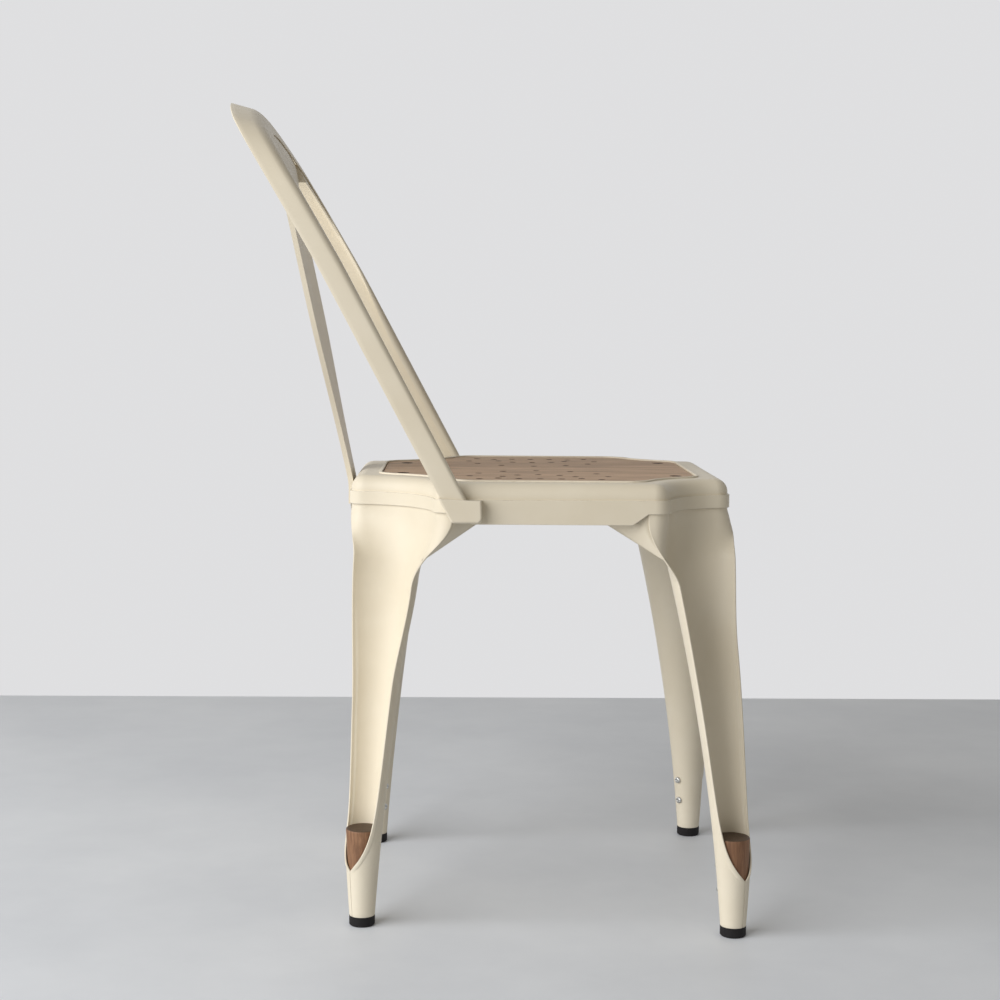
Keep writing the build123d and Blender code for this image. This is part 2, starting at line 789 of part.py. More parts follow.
with BuildPart() as splat_rivets:
    grip = front_wall + sheet
    with Locations(*[plane.offset(-front_wall) for plane in rivet_planes]):
        Cylinder(rivet_head / 2, rivet_head_height, align=down)
        Cylinder(rivet / 2, grip, align=up)
    with Locations(*[plane.offset(sheet) for plane in rivet_planes]):
        Cylinder(rivet_head / 2, rivet_head_height, align=up)
    rims = splat_rivets.faces().filter_by(Axis.X).group_by(Axis.X)
    fillet(rims[0].edges() + rims[-1].edges(), rivet_head_height / 2)
save(splat_rivets.part, "splat_rivets")

# Sockets on the skirt that hold the bar ends

socket_bottom_z = seat_height - socket_drop
socket_room = bar_outer_y + 2 * weld_gap - skirt_face_y

with BuildPart() as back_socket:
    with BuildSketch(Plane.XZ.offset(skirt_face_y)):
        add(hoop_strip(-socket_gap - sheet, hoop_depth + socket_gap + sheet, socket_bottom_z))
        with Locations((hoop_front(socket_bottom_z), socket_bottom_z)):
            Rectangle(far, 2 * socket_height, mode=Mode.INTERSECT)
    extrude(amount=socket_room + sheet)
    fillet(back_socket.faces().sort_by(Axis.Y)[0].edges().sort_by(Axis.Z)[:-1], socket_round)
    with BuildSketch(Plane.XZ.offset(skirt_face_y)):
        add(hoop_strip(-socket_gap, hoop_depth + socket_gap, bar_bottom_z - weld_gap))
    extrude(amount=socket_room, mode=Mode.SUBTRACT)
save(back_socket.part, "back_socket_right")

with BuildPart() as left_socket:
    mirror(back_socket.part, about=Plane.XZ)
save(left_socket.part, "back_socket_left")

# One bolt and one nut at each bar end

with BuildPart() as back_bolts:
    for plane in back_bolt_planes:
        with Locations(plane):
            Cylinder(back_bolt_head / 2, back_bolt_head_height, align=down)
            Cylinder(back_bolt / 2, back_bolt_length, align=up)
save(back_bolts.part, "back_bolts")

with BuildPart() as back_nuts:
    for plane in back_bolt_planes:
        with BuildSketch(plane.offset(back_bolt_seat_y - skirt_inner_y)):
            RegularPolygon(back_nut_flats / 2, 6, major_radius=False)
            Circle(back_bolt / 2 + slide_gap, mode=Mode.SUBTRACT)
        extrude(amount=back_nut_height)
save(back_nuts.part, "back_nuts")
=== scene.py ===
import json
import math

import bmesh
import bpy
from mathutils import Matrix, Vector


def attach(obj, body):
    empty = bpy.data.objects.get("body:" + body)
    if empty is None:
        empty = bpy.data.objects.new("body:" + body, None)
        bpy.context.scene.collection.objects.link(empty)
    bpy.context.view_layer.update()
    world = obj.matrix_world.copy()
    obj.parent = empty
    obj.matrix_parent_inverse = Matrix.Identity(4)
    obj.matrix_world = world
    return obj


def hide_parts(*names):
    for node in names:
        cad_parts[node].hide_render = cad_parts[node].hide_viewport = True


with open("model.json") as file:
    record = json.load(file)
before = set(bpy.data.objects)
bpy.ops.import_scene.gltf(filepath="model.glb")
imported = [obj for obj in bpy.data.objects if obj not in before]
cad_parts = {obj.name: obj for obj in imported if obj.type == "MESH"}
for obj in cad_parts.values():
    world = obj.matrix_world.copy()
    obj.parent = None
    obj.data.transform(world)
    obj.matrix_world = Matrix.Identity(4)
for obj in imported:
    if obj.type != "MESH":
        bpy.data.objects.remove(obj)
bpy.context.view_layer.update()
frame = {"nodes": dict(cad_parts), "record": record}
nodes = frame["nodes"]
scene = bpy.context.scene
scene.view_settings.view_transform = "Standard"
print("frame loaded,", len(nodes), "nodes")


# small helpers for node trees

def startMaterial(name):
    material = bpy.data.materials.new(name)
    material.use_nodes = True
    return material, material.node_tree, material.node_tree.nodes["Principled BSDF"]


def addNode(tree, kind, inputs=None, **settings):
    node = tree.nodes.new(kind)
    for key, value in settings.items():
        setattr(node, key, value)
    for key, value in (inputs or {}).items():
        if isinstance(value, bpy.types.NodeSocket):
            tree.links.new(value, node.inputs[key])
        else:
            node.inputs[key].default_value = value
    return node


# two colours, each from its own stop on
def addRamp(tree, fac, stops, colours):
    node = addNode(tree, "ShaderNodeValToRGB", {"Fac": fac})
    for element, place, colour in zip(node.color_ramp.elements, stops, colours):
        element.position = place
        element.color = (*colour, 1.0)
    return node.outputs["Color"]


def objectCoords(tree, stretch=(1, 1, 1)):
    coords = addNode(tree, "ShaderNodeTexCoord")
    mapping = addNode(tree, "ShaderNodeMapping", {"Vector": coords.outputs["Object"], "Scale": stretch})
    return mapping.outputs["Vector"]


def noise(tree, vector, scale, detail=2.0, roughness=0.5, distortion=0.0):
    node = addNode(tree, "ShaderNodeTexNoise", {"Vector": vector, "Scale": scale, "Detail": detail})
    node.inputs["Roughness"].default_value = roughness
    node.inputs["Distortion"].default_value = distortion
    return node.outputs["Fac"]


def rescale(tree, value, low, high, fromLow=0.0, fromHigh=1.0):
    node = addNode(tree, "ShaderNodeMapRange", {"Value": value})
    node.inputs["From Min"].default_value = fromLow
    node.inputs["From Max"].default_value = fromHigh
    node.inputs["To Min"].default_value = low
    node.inputs["To Max"].default_value = high
    return node.outputs["Result"]


def mixColours(tree, fac, first, second):
    node = addNode(tree, "ShaderNodeMix", data_type="RGBA")
    for key, value in ((0, fac), (6, first), (7, second)):
        if isinstance(value, bpy.types.NodeSocket):
            tree.links.new(value, node.inputs[key])
        else:
            node.inputs[key].default_value = (*value, 1.0)
    return node.outputs[2]


def addBump(tree, height, strength, distance, normal=None):
    node = addNode(tree, "ShaderNodeBump", {"Height": height, "Strength": strength, "Distance": distance})
    if normal is not None:
        tree.links.new(normal, node.inputs["Normal"])
    return node.outputs["Normal"]


# how far a face looks up
def facingUp(tree):
    normal = addNode(tree, "ShaderNodeNewGeometry").outputs["Normal"]
    return addNode(tree, "ShaderNodeSeparateXYZ", {0: normal}).outputs["Z"]


# ivory powder coat on pressed steel, a little rubbed along its edges, with a painted highlight along them
paintLook = {
    "tone": (0.79, 0.72, 0.585),
    "shade": (0.74, 0.665, 0.525),
    "cloudScale": 9.0,
    "cloudStops": (0.35, 0.65),
    # paler edge tone: partly rubbed wear, partly painted highlight
    "rubbedHighlight": (0.84, 0.79, 0.69),
    "rubbedHighlightShare": 0.5,
    "grime": (0.52, 0.43, 0.31),
    "grimeShare": 0.45,
    "chipScale": 130.0,
    "chipRange": (0.52, 0.66),
    "edgeReach": 0.0022,
    "edgeRange": (0.72, 0.97),
    "edgeSoft": 0.0009,
    "edgeSamples": 6,
    "glossScale": 60.0,
    "roughness": (0.34, 0.5),
    "sheen": 0.28,
    "peelScale": 900.0,
    "peelStrength": 0.35,
    "peelDepth": 0.00006,
}


# edges show as the gap between the true and the softened normal
def rubAndHighlightEdges(tree, spots, colour):
    wide = addNode(
        tree, "ShaderNodeBevel", {"Radius": paintLook["edgeReach"]}, samples=paintLook["edgeSamples"]
    )
    flat = addNode(tree, "ShaderNodeNewGeometry")
    turned = addNode(
        tree,
        "ShaderNodeVectorMath",
        {0: wide.outputs["Normal"], 1: flat.outputs["Normal"]},
        operation="DOT_PRODUCT",
    )
    edge = rescale(tree, turned.outputs["Value"], 1.0, 0.0, *paintLook["edgeRange"])
    flakes = noise(tree, spots, paintLook["chipScale"], detail=4.0, roughness=0.7)
    chips = rescale(tree, flakes, 0.0, 1.0, *paintLook["chipRange"])
    worn = addNode(tree, "ShaderNodeMath", {0: edge, 1: chips}, operation="MULTIPLY").outputs[0]
    # painted highlight: every edge is mixed towards the paler tone, partly as rubbed wear
    colour = mixColours(tree, rescale(tree, edge, 0.0, paintLook["rubbedHighlightShare"]), colour, paintLook["rubbedHighlight"])
    return mixColours(tree, rescale(tree, worn, 0.0, paintLook["grimeShare"]), colour, paintLook["grime"])


def makePaint(name, rubbedHighlight):
    material, tree, shader = startMaterial(name)
    spots = objectCoords(tree)
    clouds = noise(tree, spots, paintLook["cloudScale"], detail=4.0, roughness=0.6)
    colour = addRamp(tree, clouds, paintLook["cloudStops"], (paintLook["shade"], paintLook["tone"]))
    gloss = noise(tree, spots, paintLook["glossScale"], detail=3.0)
    tree.links.new(rescale(tree, gloss, *paintLook["roughness"]), shader.inputs["Roughness"])
    shader.inputs["Specular IOR Level"].default_value = paintLook["sheen"]
    softNormal = None
    if rubbedHighlight:
        colour = rubAndHighlightEdges(tree, spots, colour)
        soft = addNode(
            tree, "ShaderNodeBevel", {"Radius": paintLook["edgeSoft"]}, samples=paintLook["edgeSamples"]
        )
        softNormal = soft.outputs["Normal"]
    tree.links.new(colour, shader.inputs["Base Color"])
    peel = noise(tree, spots, paintLook["peelScale"])
    coat = addBump(tree, peel, paintLook["peelStrength"], paintLook["peelDepth"], softNormal)
    tree.links.new(coat, shader.inputs["Normal"])
    return material


# oak veneer of the seat insert, grain from rear to front
oakLook = {
    "light": (0.64, 0.445, 0.29),
    "dark": (0.44, 0.29, 0.18),
    "pore": (0.19, 0.115, 0.07),
    # painted shade for the oak faces that don't look up
    "cut": (0.022, 0.014, 0.010),
    "bandStretch": (3.0, 60.0, 60.0),
    "bandStops": (0.3, 0.7),
    "poreStretch": (14.0, 520.0, 520.0),
    "poreStops": (0.38, 0.5),
    "cutRange": (0.2, 0.5),
    "roughness": (0.55, 0.72),
    "grainStrength": 0.4,
    "grainDepth": 0.00025,
}


def makeOak():
    material, tree, shader = startMaterial("oakVeneer")
    along = objectCoords(tree, oakLook["bandStretch"])
    fine = objectCoords(tree, oakLook["poreStretch"])
    bands = noise(tree, along, 1.0, detail=4.0, roughness=0.6, distortion=0.6)
    streaks = noise(tree, fine, 1.0, detail=3.0, roughness=0.6)
    tone = addRamp(tree, bands, oakLook["bandStops"], (oakLook["dark"], oakLook["light"]))
    pores = addRamp(tree, streaks, oakLook["poreStops"], ((0.0, 0.0, 0.0), (1.0, 1.0, 1.0)))
    colour = mixColours(tree, pores, oakLook["pore"], tone)
    # painted shade: faces that don't look up, the walls of the drilled holes among them, are painted near
    # black
    cut = rescale(tree, facingUp(tree), 1.0, 0.0, *oakLook["cutRange"])
    colour = mixColours(tree, cut, colour, oakLook["cut"])
    tree.links.new(colour, shader.inputs["Base Color"])
    tree.links.new(rescale(tree, streaks, *oakLook["roughness"]), shader.inputs["Roughness"])
    grain = addBump(tree, streaks, oakLook["grainStrength"], oakLook["grainDepth"])
    tree.links.new(grain, shader.inputs["Normal"])
    return material


# oiled hardwood of the leg plugs, grain upright
plugLook = {
    "light": (0.36, 0.19, 0.095),
    "dark": (0.15, 0.068, 0.032),
    "end": (0.028, 0.019, 0.009),
    "bandStretch": (90.0, 90.0, 9.0),
    "bandStops": (0.3, 0.7),
    "streakStretch": (620.0, 620.0, 22.0),
    "streakShare": 0.8,
    "streakRange": (0.38, 0.66),
    "endShare": 0.8,
    "endRange": (0.4, 0.8),
    "roughness": (0.5, 0.7),
    "grainStrength": 0.4,
    "grainDepth": 0.0003,
}


def makePlugWood():
    material, tree, shader = startMaterial("plugWood")
    along = objectCoords(tree, plugLook["bandStretch"])
    fine = objectCoords(tree, plugLook["streakStretch"])
    bands = noise(tree, along, 1.0, detail=4.0, roughness=0.65, distortion=1.2)
    streaks = noise(tree, fine, 1.0, detail=3.0, roughness=0.7)
    tone = addRamp(tree, bands, plugLook["bandStops"], (plugLook["dark"], plugLook["light"]))
    lines = rescale(tree, streaks, 0.0, plugLook["streakShare"], *plugLook["streakRange"])
    colour = mixColours(tree, lines, tone, plugLook["dark"])
    # end grain drinks more oil, so the tops are darker
    endGrain = rescale(tree, facingUp(tree), 0.0, plugLook["endShare"], *plugLook["endRange"])
    colour = mixColours(tree, endGrain, colour, plugLook["end"])
    tree.links.new(colour, shader.inputs["Base Color"])
    tree.links.new(rescale(tree, streaks, *plugLook["roughness"]), shader.inputs["Roughness"])
    grain = addBump(tree, streaks, plugLook["grainStrength"], plugLook["grainDepth"])
    tree.links.new(grain, shader.inputs["Normal"])
    return material


# moulded black rubber of the feet
rubberLook = {
    "tone": (0.006, 0.005, 0.0055),
    "dust": (0.014, 0.012, 0.0125),
    "dustScale": 160.0,
    "dustStops": (0.45, 0.75),
    "roughness": (0.6, 0.85),
    "sheen": 0.3,
    "grainScale": 2200.0,
    "grainStrength": 0.3,
    "grainDepth": 0.00008,
}


def makeRubber():
    material, tree, shader = startMaterial("blackRubber")
    spots = objectCoords(tree)
    dust = noise(tree, spots, rubberLook["dustScale"], detail=4.0, roughness=0.65)
    colour = addRamp(tree, dust, rubberLook["dustStops"], (rubberLook["tone"], rubberLook["dust"]))
    tree.links.new(colour, shader.inputs["Base Color"])
    tree.links.new(rescale(tree, dust, *rubberLook["roughness"]), shader.inputs["Roughness"])
    shader.inputs["Specular IOR Level"].default_value = rubberLook["sheen"]
    grain = noise(tree, spots, rubberLook["grainScale"])
    skin = addBump(tree, grain, rubberLook["grainStrength"], rubberLook["grainDepth"])
    tree.links.new(skin, shader.inputs["Normal"])
    return material


# plated screws, bolts and nuts
steelLook = {
    "screwSteel": {"bright": (0.66, 0.66, 0.64), "dull": (0.42, 0.42, 0.41)},
    "darkSteel": {"bright": (0.16, 0.15, 0.14), "dull": (0.07, 0.066, 0.062)},
    "stainScale": 420.0,
    "stainStops": (0.35, 0.6),
    "roughness": (0.24, 0.46),
    "grainScale": 1800.0,
    "grainStrength": 0.2,
    "grainDepth": 0.00005,
}


def makeSteel(name):
    material, tree, shader = startMaterial(name)
    spots = objectCoords(tree)
    stain = noise(tree, spots, steelLook["stainScale"], detail=3.0, roughness=0.6)
    plating = (steelLook[name]["dull"], steelLook[name]["bright"])
    tree.links.new(addRamp(tree, stain, steelLook["stainStops"], plating), shader.inputs["Base Color"])
    shader.inputs["Metallic"].default_value = 1.0
    tree.links.new(rescale(tree, stain, *steelLook["roughness"]), shader.inputs["Roughness"])
    grain = noise(tree, spots, steelLook["grainScale"])
    skin = addBump(tree, grain, steelLook["grainStrength"], steelLook["grainDepth"])
    tree.links.new(skin, shader.inputs["Normal"])
    return material


finishes = {
    "cream_paint": makePaint("creamPaint", rubbedHighlight=True),
    "oak_ply": makeOak(),
    "plug_wood": makePlugWood(),
    "black_rubber": makeRubber(),
    "screw_steel": makeSteel("screwSteel"),
    "dark_steel": makeSteel("darkSteel"),
}
barPaint = makePaint("barPaint", rubbedHighlight=False)  # edge wear and painted edge highlight speckled on these two sheets
backNodes = ("back_hoop", "back_splat")

for part in frame["record"]["subparts"]:
    mesh = nodes[part["node"]].data
    mesh.materials.clear()
    mesh.materials.append(barPaint if part["node"] in backNodes else finishes[part["material_slot"]])
print("finishes on the CAD nodes")


# helpers for the pressed pieces

def addPiece(name, shape, slot, stoodFor):
    mesh = bpy.data.meshes.new(name)
    shape.to_mesh(mesh)
    shape.free()
    for face in mesh.polygons:
        face.use_smooth = True
    mesh.materials.append(finishes[slot])
    piece = bpy.data.objects.new(name, mesh)
    scene.collection.objects.link(piece)
    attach(piece, "root")
    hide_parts(stoodFor)
    return piece


# the wall grows inwards from the outer face
def addWall(piece, thickness):
    wall = piece.modifiers.new("sheet", "SOLIDIFY")
    wall.thickness = thickness
    wall.offset = -1.0


def roundEdges(piece, name, width, segments=2, angle=50.0):
    rim = piece.modifiers.new(name, "BEVEL")
    rim.width = width
    rim.segments = segments
    rim.limit_method = "ANGLE"
    rim.angle_limit = math.radians(angle)


def easeBetween(value, low, high):
    share = min(max((value - low) / (high - low), 0.0), 1.0)
    return share * share * (3.0 - 2.0 * share)


# legs: one pressed sheet each, closed at the foot, open above the V, hemmed along the opening
legSheet = {
    "thickness": 0.0016,
    "seatCentreX": 0.0516,
    "halfLength": 0.1865,
    "halfWidth": 0.191,
    "topHeight": 0.42455,
    "wallInset": 0.00015,
    "cornerRound": 0.016,
    "footHeight": 0.010,
    "footRadius": 0.0126,
    "topRadius": 0.037,
    "bendHeight": 0.344,
    "flareHeight": 0.064,
    "flareDelay": 0.022,
    "seamHalfAngle": 179.0,
    "openHalfAngle": 80.0,
    "veeHeight": 0.057,
    "veeFade": 0.022,
    "gutterFade": 0.110,
    "veeShare": 0.8,
    "columns": 56,
    "tubeRows": 12,
    "gutterRows": 150,
    "hemWidth": 0.0042,
    "hemFlat": 0.8,  # share of the hem's width before it steps down
    "hemColumns": 0.25,  # share of the columns, from each edge, that a hem can reach
    "hemRise": 0.0009,
    "hemStart": 0.004,
    "hemEnd": (0.25, 0.36),
    "edgeRound": 0.0006,
    "sideRise": (0.24, 0.335),
    "sideFall": (0.345, 0.375),
    "sideColumns": (0.02, 0.4),
    "endColumns": (0.5, 0.95),
    "gutterHeight": 0.25,  # a level where the sheet is an open gutter
}
legKinds = {
    "front": {
        "ahead": 1,
        "notch": 0.066,
        "lipReach": 0.020,
        "braceReach": 0.042,
        "footSpread": (0.0043, -0.013),
        "coneInset": (0.0236, 0.020),
        "turn": 40.0,
        "screwTurn": 50.0,
        "sideSwell": 0.0,
        "endSwell": 0.0088,
        "swellRise": (0.28, 0.40),
        "swellFall": (0.384, 0.416),
    },
    "rear": {
        "ahead": -1,
        "notch": 0.085,
        "lipReach": 0.016,
        "braceReach": 0.028,
        "footSpread": (-0.0137, -0.044),
        "coneInset": (0.028, 0.030),
        "turn": 48.0,
        "screwTurn": 39.0,
        "sideSwell": 0.006,
        "endSwell": 0.005,
        "swellRise": (0.22, 0.36),
        "swellFall": (0.38, 0.415),
    },
}


def legPlace(kind, out, inward):
    cornerX = legSheet["seatCentreX"] + kind["ahead"] * legSheet["halfLength"]
    return Vector((cornerX + kind["ahead"] * out, inward - legSheet["halfWidth"]))


def legCentre(kind, z):
    foot = legPlace(kind, kind["footSpread"][0], -kind["footSpread"][1])
    bend = legPlace(kind, -kind["coneInset"][0], kind["coneInset"][1])
    return foot + (bend - foot) * (z / legSheet["bendHeight"]) ** 2


def legRadius(z):
    share = (z - legSheet["footHeight"]) / (legSheet["bendHeight"] - legSheet["footHeight"])
    return legSheet["footRadius"] + (legSheet["topRadius"] - legSheet["footRadius"]) * share


def legHalfAngle(z):
    rise = z - legSheet["veeHeight"]
    if rise <= 0.0:
        return math.radians(legSheet["seamHalfAngle"])
    vee = math.exp(-rise / legSheet["veeFade"])
    gutter = math.exp(-rise / legSheet["gutterFade"])
    fade = legSheet["veeShare"] * vee + (1.0 - legSheet["veeShare"]) * gutter
    spread = legSheet["seamHalfAngle"] - legSheet["openHalfAngle"]
    return math.radians(legSheet["openHalfAngle"] + spread * fade)


# the line of the hollow seat corner: side, round, hollow, round, end
def cornerSpot(kind, share):
    inset, rounding = legSheet["wallInset"], legSheet["cornerRound"]
    hollow = kind["notch"] + inset
    reach = kind["notch"] + kind["lipReach"]
    roundPlace = math.sqrt((hollow + rounding) ** 2 - (inset + rounding) ** 2)
    lean = math.asin((inset + rounding) / (hollow + rounding))
    straight = reach - roundPlace
    bend = rounding * (math.pi / 2 - lean)
    arc = hollow * (math.pi / 2 - 2 * lean)
    run = share * (2 * straight + 2 * bend + arc)
    swapped = run > straight + bend + arc / 2
    if swapped:
        run = 2 * straight + 2 * bend + arc - run
    if run < straight:
        along, across = reach - run, inset
    elif run < straight + bend:
        swing = (run - straight) / rounding
        along = roundPlace - rounding * math.sin(swing)
        across = inset + rounding - rounding * math.cos(swing)
    else:
        swing = lean + (run - straight - bend) / hollow
        along, across = hollow * math.cos(swing), hollow * math.sin(swing)
    if swapped:
        along, across = across, along
    return legPlace(kind, -along, across)


# the pressed bulges under the seat, outwards at the chair's end and inwards at its side
def legSwell(kind, share, z):
    end = easeBetween(z, *kind["swellRise"]) * (1.0 - easeBetween(z, *kind["swellFall"]))
    end *= kind["endSwell"] * easeBetween(share, *legSheet["endColumns"])
    side = easeBetween(z, *legSheet["sideRise"]) * (1.0 - easeBetween(z, *legSheet["sideFall"]))
    side *= kind["sideSwell"] * (1.0 - easeBetween(share, *legSheet["sideColumns"]))
    return Vector((kind["ahead"] * (end - side), 0.0))


# share 0 is the edge at the chair's side, share 1 the edge at its end
def legSpot(kind, share, z):
    turn = math.radians(kind["turn"])
    outward = Vector((kind["ahead"] * math.sin(turn), -math.cos(turn)))
    across = Vector((kind["ahead"] * math.cos(turn), math.sin(turn)))
    start = legSheet["bendHeight"] + legSheet["flareDelay"] * share
    blend = easeBetween(z, start, legSheet["bendHeight"] + legSheet["flareHeight"])
    angle = legHalfAngle(z) * (2.0 * share - 1.0)
    spoke = across * math.sin(angle) - outward * math.cos(angle)
    cone = legCentre(kind, z) + spoke * (legRadius(z) - legSheet["thickness"])
    return cone * (1.0 - blend) + cornerSpot(kind, share) * blend + legSwell(kind, share, z)


def rowHeight(row):
    if row <= legSheet["tubeRows"]:
        low, high = legSheet["footHeight"], legSheet["veeHeight"]
        return low + (high - low) * (row / legSheet["tubeRows"])
    low, high = legSheet["veeHeight"], legSheet["topHeight"]
    return low + (high - low) * ((row - legSheet["tubeRows"]) / legSheet["gutterRows"])


# a folded hem stands proud on the back along both open edges
def hemRise(kind, share, z, spot):
    if min(share, 1.0 - share) >= legSheet["hemColumns"]:
        return 0.0
    fromEdge = (spot - legSpot(kind, 0.0 if share < 0.5 else 1.0, z)).length
    hem = 1.0 - easeBetween(fromEdge, legSheet["hemWidth"] * legSheet["hemFlat"], legSheet["hemWidth"])
    hem *= easeBetween(z, legSheet["veeHeight"], legSheet["veeHeight"] + legSheet["hemStart"])
    return legSheet["hemRise"] * hem * (1.0 - easeBetween(z, *legSheet["hemEnd"]))


def makeLeg(name, kind, side):
    rows = legSheet["tubeRows"] + legSheet["gutterRows"]
    shape = bmesh.new()
    bmesh.ops.create_grid(shape, x_segments=legSheet["columns"], y_segments=rows, size=0.5)
    step = 0.5 / legSheet["columns"]
    for vert in shape.verts:
        even = vert.co.x + 0.5
        share = 0.5 * even + 0.25 * (1.0 - math.cos(math.pi * even))  # columns gather at the edges
        z = rowHeight(round((vert.co.y + 0.5) * rows))
        spot = legSpot(kind, share, z)
        before = legSpot(kind, max(share - step, 0.0), z)
        after = legSpot(kind, min(share + step, 1.0), z)
        along = (after - before).normalized()
        back = Vector((-along.y, along.x)) * kind["ahead"]
        spot = spot + back * hemRise(kind, share, z, spot)
        vert.co = (spot.x, -side * spot.y, z)
    shape.normal_update()
    # the outer face of the sheet looks into the gutter
    level = legSheet["gutterHeight"]
    middle = min(shape.faces, key=lambda face: (face.calc_center_median().z - level) ** 2)
    inside = legCentre(kind, level)
    toHollow = Vector((inside.x, -side * inside.y, level)) - middle.calc_center_median()
    if middle.normal.dot(toHollow) < 0.0:
        bmesh.ops.reverse_faces(shape, faces=shape.faces)
    leg = addPiece(name, shape, "cream_paint", name.replace("pressed_", ""))
    addWall(leg, legSheet["thickness"])
    roundEdges(leg, "edges", legSheet["edgeRound"])


# braces that run from the leg edge back behind the skirt
gussetLook = {
    "tip": 0.3674,
    "skirt": 0.4034,
    "top": 0.4255,
    "depth": 0.024,
    "lap": 0.0012,
    "corner": 0.62,  # share of the rise where the far edge turns upright
    "rows": 12,
    "columns": 6,
    "thickness": 0.0016,
    "merge": 0.00005,
}


def makeGusset(name, kind, side):
    shape = bmesh.new()
    bmesh.ops.create_grid(shape, x_segments=gussetLook["columns"], y_segments=gussetLook["rows"], size=0.5)
    tip, skirt, top = gussetLook["tip"], gussetLook["skirt"], gussetLook["top"]
    tipSpot = legSpot(kind, 0.0, tip)
    farX = legSpot(kind, 0.0, skirt).x - kind["ahead"] * kind["braceReach"]
    for vert in shape.verts:
        out, rise = vert.co.x + 0.5, vert.co.y + 0.5
        edge = legSpot(kind, 0.0, tip + (top - tip) * rise)
        near = Vector((edge.x, edge.y + gussetLook["lap"], tip + (top - tip) * rise))
        run = min(rise / gussetLook["corner"], 1.0)
        climb = max(rise - gussetLook["corner"], 0.0) / (1.0 - gussetLook["corner"])
        away = Vector((
            tipSpot.x + (farX - tipSpot.x) * run,
            tipSpot.y + gussetLook["lap"] + gussetLook["depth"] * run,
            tip + (skirt - tip) * run + (top - skirt) * climb,
        ))
        spot = near.lerp(away, out)
        vert.co = (spot.x, -side * spot.y, spot.z)
    bmesh.ops.remove_doubles(shape, verts=shape.verts, dist=gussetLook["merge"])
    shape.normal_update()
    shape.faces.ensure_lookup_table()
    if shape.faces[len(shape.faces) // 2].normal.y * side < 0.0:
        bmesh.ops.reverse_faces(shape, faces=shape.faces)
    gusset = addPiece(name, shape, "cream_paint", name.replace("pressed_", "corner_"))
    addWall(gusset, gussetLook["thickness"])


# pan head screws with a cross recess that hold the plugs
screwLook = {
    "heights": (0.043, 0.067),
    "headRadius": 0.00375,
    "gap": 0.0002,
    "profile": (
        (0.0, 0.0007),
        (0.0008, 0.0007),
        (0.0014, 0.0020),
        (0.0017, 0.0022),
        (0.0027, 0.0020),
        (0.0034, 0.0014),
        (0.00375, 0.0005),
        (0.00375, 0.0),
        (0.0020, 0.0),
        (0.0020, -0.0116),
        (0.0, -0.0116),
    ),
    "recess": 0.0015,
    "lobe": 0.5,
    "lobes": 4,
    "steps": 40,
    "merge": 0.00001,
}


def makeScrews(name, kind, side):
    shape = bmesh.new()
    turn = math.radians(kind["screwTurn"])
    inward = Vector((kind["ahead"] * math.sin(turn), side * math.cos(turn), 0.0))
    for height in screwLook["heights"]:
        chain = [shape.verts.new((radius, 0.0, rise)) for radius, rise in screwLook["profile"]]
        edges = [shape.edges.new(pair) for pair in zip(chain, chain[1:])]
        bmesh.ops.spin(
            shape,
            geom=chain + edges,
            cent=(0, 0, 0),
            axis=(0, 0, 1),
            angle=math.tau,
            steps=screwLook["steps"],
            use_merge=True,
        )
        fresh = [vert for vert in shape.verts if not vert.tag]
        for vert in fresh:
            radius = math.hypot(vert.co.x, vert.co.y)
            if 0.0 < radius < screwLook["recess"] and vert.co.z > 0.0:
                around = math.atan2(vert.co.y, vert.co.x)
                swell = 1.0 + screwLook["lobe"] * math.cos(screwLook["lobes"] * around)
                vert.co.x *= swell
                vert.co.y *= swell
        centre = legCentre(kind, height)
        back = legRadius(height + screwLook["headRadius"]) + screwLook["gap"]
        place = Vector((centre.x, -side * centre.y, height)) - inward * back
        turned = (-inward).to_track_quat("Z", "Y").to_matrix().to_4x4()
        bmesh.ops.transform(shape, matrix=Matrix.Translation(place) @ turned, verts=fresh)
        for vert in fresh:
            vert.tag = True
    bmesh.ops.remove_doubles(shape, verts=shape.verts, dist=screwLook["merge"])
    bmesh.ops.recalc_face_normals(shape, faces=shape.faces)
    addPiece(name, shape, "screw_steel", name.replace("cross_", ""))


bothSides = (("right", -1), ("left", 1))

for kindName, kind in legKinds.items():
    for sideName, side in bothSides:
        makeLeg(f"pressed_leg_{kindName}_{sideName}", kind, side)
        makeGusset(f"pressed_gusset_{kindName}_{sideName}", kind, side)
        makeScrews(f"cross_plug_screws_{kindName}_{sideName}", kind, side)
print("legs, gussets and plug screws")


# back hoop: one arch of pressed channel, open to the rear, round along both front edges
hoopLook = {
    "outer": {"topHalf": 0.1994, "lean": 0.01398, "top": 0.805, "round": 0.060},
    "inner": {"topHalf": 0.1824, "lean": 0.03941, "top": 0.788, "round": 0.050},
    "crownDrop": 0.036,
    "bottom": 0.4075,
    "datum": (-0.0219, 0.430),
    "knee": 0.650,
    "kneeSoft": 0.012,
    "slopes": (0.534, 0.585),
    "wallRise": 15.0,
    "depth": 0.024,
    "returnDepth": 0.0096,
    "endReturn": 0.0060,
    "returnRise": (0.438, 0.46),
    "outerShare": 0.42,
    "innerShare": 0.55,
    "plateEdge": 0.0019,
    "plateLap": 0.0030,
    "plateReturn": 0.0020,
    "plateFade": (0.60, 0.70),
    "thickness": 0.0016,
    "edgeRound": 0.0006,
    "rows": {"bar": 60, "corner": 40, "crown": 40},
    "columns": {"wall": 4, "outer": 10, "front": 4, "inner": 10, "return": 4},
    "meetingTries": 40,
    "depthTries": 2,
    "climbTries": 6,
}


def hoopFront(z):
    over = z - hoopLook["knee"]
    bent = 0.5 * (over + math.hypot(over, hoopLook["kneeSoft"]))
    low, high = hoopLook["slopes"]
    return hoopLook["datum"][0] - low * (z - hoopLook["datum"][1]) - (high - low) * bent


def barHalf(line, z):
    return line["topHalf"] - line["lean"] * (z - line["top"] + hoopLook["crownDrop"])


